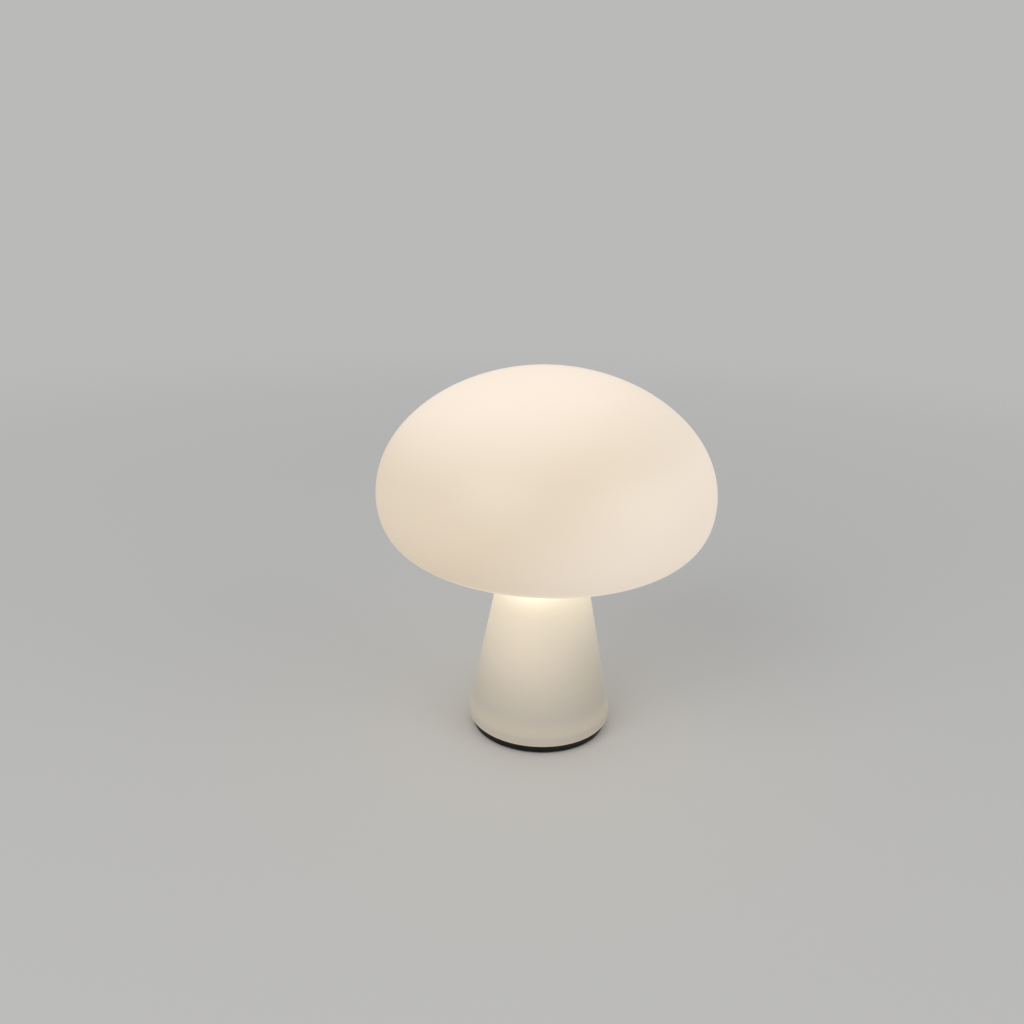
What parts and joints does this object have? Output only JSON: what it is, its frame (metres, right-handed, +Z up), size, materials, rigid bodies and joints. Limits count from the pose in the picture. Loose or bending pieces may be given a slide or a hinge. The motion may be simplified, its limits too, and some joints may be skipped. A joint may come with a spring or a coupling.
{
  "type": "mushroom table lamp",
  "caption": "Mushroom table lamp: one-piece blown opal glass cap and stem on a low black base, with a screw-in bulb on a tube inside.",
  "frame": {"origin": "centre of the footprint, on the surface that the lamp stands on", "axes": "+Z up along the axis of the glass; +Y to the back, where the cord outlet is; +X to the right as seen from the front"},
  "size_m": [0.24, 0.24, 0.2714],
  "materials": {
    "opal_glass": "satin, acid-etched opal, lit from inside",
    "black_paint": "satin black lacquer",
    "cast_iron": "as cast",
    "zinc_steel": "zinc plated",
    "black_rubber": "matt",
    "spring_steel": "blued spring steel",
    "white_plastic": "fine satin",
    "black_plastic": "fine matt",
    "ceramic": "unglazed",
    "brass": "plain",
    "nickel": "satin nickel",
    "black_glass": "black vitreous insulator",
    "frosted_globe": "frosted",
    "board_aluminium": "white solder mask",
    "chip_phosphor": "phosphor",
    "board_green": "solder mask",
    "capacitor_sleeve": "shrink sleeve",
    "lead_brown": "silicone insulation",
    "lead_blue": "silicone insulation"
  },
  "bodies": {
    "lamp": {"seat_ring": "black_rubber", "base_shell": "black_paint", "ballast": "cast_iron", "bottom_cover": "black_paint", "cover_screws": "zinc_steel", "foot_ring": "black_rubber", "glass_clip_front": "spring_steel", "glass_clip_right": "spring_steel", "glass_clip_left": "spring_steel", "clip_screws": "zinc_steel", "outlet_bush": "black_rubber", "cord_grip_body": "black_plastic", "cord_grip_bridge": "black_plastic", "cord_grip_screws": "zinc_steel", "terminal_block": "white_plastic", "terminal_inserts": "brass", "terminal_screws": "zinc_steel", "terminal_block_screw": "zinc_steel", "stem_tube": "zinc_steel", "tube_washer_below": "zinc_steel", "tube_nut_below": "zinc_steel", "tube_washer_above": "zinc_steel", "tube_nut_above": "zinc_steel", "holder_lock_nut": "zinc_steel", "holder_cap": "white_plastic", "holder_grub_screw": "zinc_steel", "holder_sleeve": "white_plastic", "contact_carrier": "ceramic", "screw_shell": "brass", "centre_contact": "brass", "terminal_live": "brass", "terminal_neutral": "brass", "holder_terminal_screws": "zinc_steel", "lead_live": "lead_brown", "lead_neutral": "lead_blue"},
    "glass": {"glass_body": "opal_glass"},
    "bulb_contact": {"bulb_contact": "nickel"},
    "bulb": {"bulb_insulator": "black_glass", "bulb_cap": "nickel", "bulb_collar": "white_plastic", "bulb_globe": "frosted_globe", "led_board": "board_aluminium", "led_chips": "chip_phosphor", "driver_board": "board_green", "driver_capacitor": "capacitor_sleeve"}
  },
  "joints": [
    {"name": "glass_lift", "type": "slide", "parent": "lamp", "child": "glass", "axis": [0, 0, 1], "range_m": [0, 0.17]},
    {"name": "bulb_rise", "type": "slide", "parent": "lamp", "child": "bulb_contact", "axis": [0, 0, 1], "range_m": [0, 0.0113]},
    {"name": "bulb_turn", "type": "hinge", "parent": "bulb_contact", "child": "bulb", "pos_m": [0, 0, 0.0935], "axis": [0, 0, 1], "range_deg": [0, 1440]}
  ],
  "couplings": [
    {"joint": "bulb_rise", "follows": "bulb_turn", "m_per_rad": 0.00044914}
  ]
}
